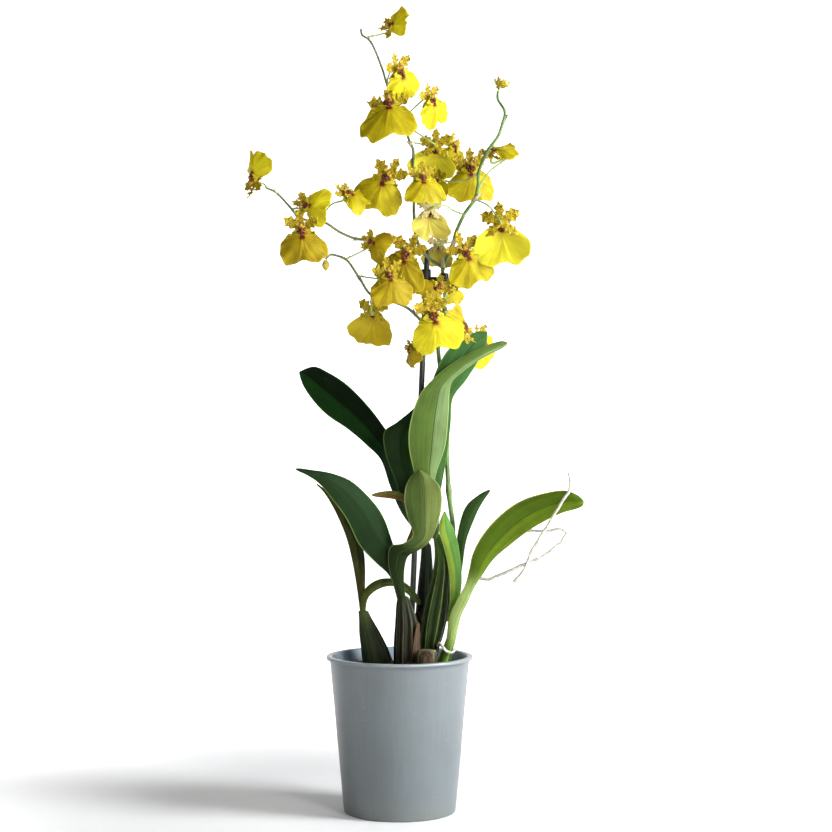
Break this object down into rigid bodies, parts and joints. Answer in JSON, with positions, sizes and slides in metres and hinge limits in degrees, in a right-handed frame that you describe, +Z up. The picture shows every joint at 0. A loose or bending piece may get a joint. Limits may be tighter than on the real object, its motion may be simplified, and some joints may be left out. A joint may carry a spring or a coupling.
{
  "type": "potted orchid",
  "caption": "Yellow dancing-lady orchid with ribbed bulbs, strap leaves and a branched flower spray on a stake, in a plain tapered pot.",
  "frame": {"origin": "centre of the pot's flat underside", "axes": "+Z up, the plant's front faces -Y, +X to the right as seen from the front"},
  "size_m": [0.3021, 0.1379, 0.7192],
  "materials": {
    "pot_shell": "smooth moulded plastic with a soft sheen",
    "bark": "damp chopped bark",
    "bulb": "ribbed waxy skin",
    "dry_stub": "dry and fibrous",
    "leaf": "smooth waxy leaf",
    "stem": "smooth green stem",
    "petal": "soft petal, barred and blotched red-brown",
    "root": "pale spongy skin",
    "stake": "dark plastic-coated cane",
    "clip": "black moulded plastic"
  },
  "bodies": {
    "root": {"arching_leaf": "leaf", "back_bulb": "bulb", "broad_right_leaf": "leaf", "centre_bulb": "bulb", "curled_root": "root", "drying_leaf": "leaf", "flower_01": "petal", "flower_02": "petal", "flower_03": "petal", "flower_04": "petal", "flower_05": "petal", "flower_06": "petal", "flower_07": "petal", "flower_08": "petal", "flower_09": "petal", "flower_10": "petal", "flower_11": "petal", "flower_12": "petal", "flower_13": "petal", "flower_14": "petal", "flower_15": "petal", "flower_16": "petal", "flower_17": "petal", "flower_18": "petal", "flower_19": "petal", "flower_20": "petal", "flower_21": "petal", "flower_22": "petal", "flower_23": "petal", "flower_24": "petal", "flower_25": "petal", "flower_26": "petal", "flower_27": "petal", "flower_28": "petal", "flower_29": "petal", "flower_30": "petal", "flower_spike": "stem", "growing_medium": "bark", "inner_left_leaf": "leaf", "lance_leaf": "leaf", "left_branch": "stem", "left_bulb": "bulb", "long_root": "root", "lower_branch": "stem", "lower_left_leaf": "leaf", "narrow_left_leaf": "leaf", "new_shoot": "bulb", "old_stub": "dry_stub", "pot": "pot_shell", "short_root": "root", "small_pale_leaf": "leaf", "stake_clip": "clip", "support_stake": "stake", "tall_back_leaf": "leaf", "tall_bulb": "bulb", "tall_front_leaf": "leaf", "top_branch": "stem", "twisted_leaf": "leaf", "upper_left_leaf": "leaf"}
  },
  "joints": []
}
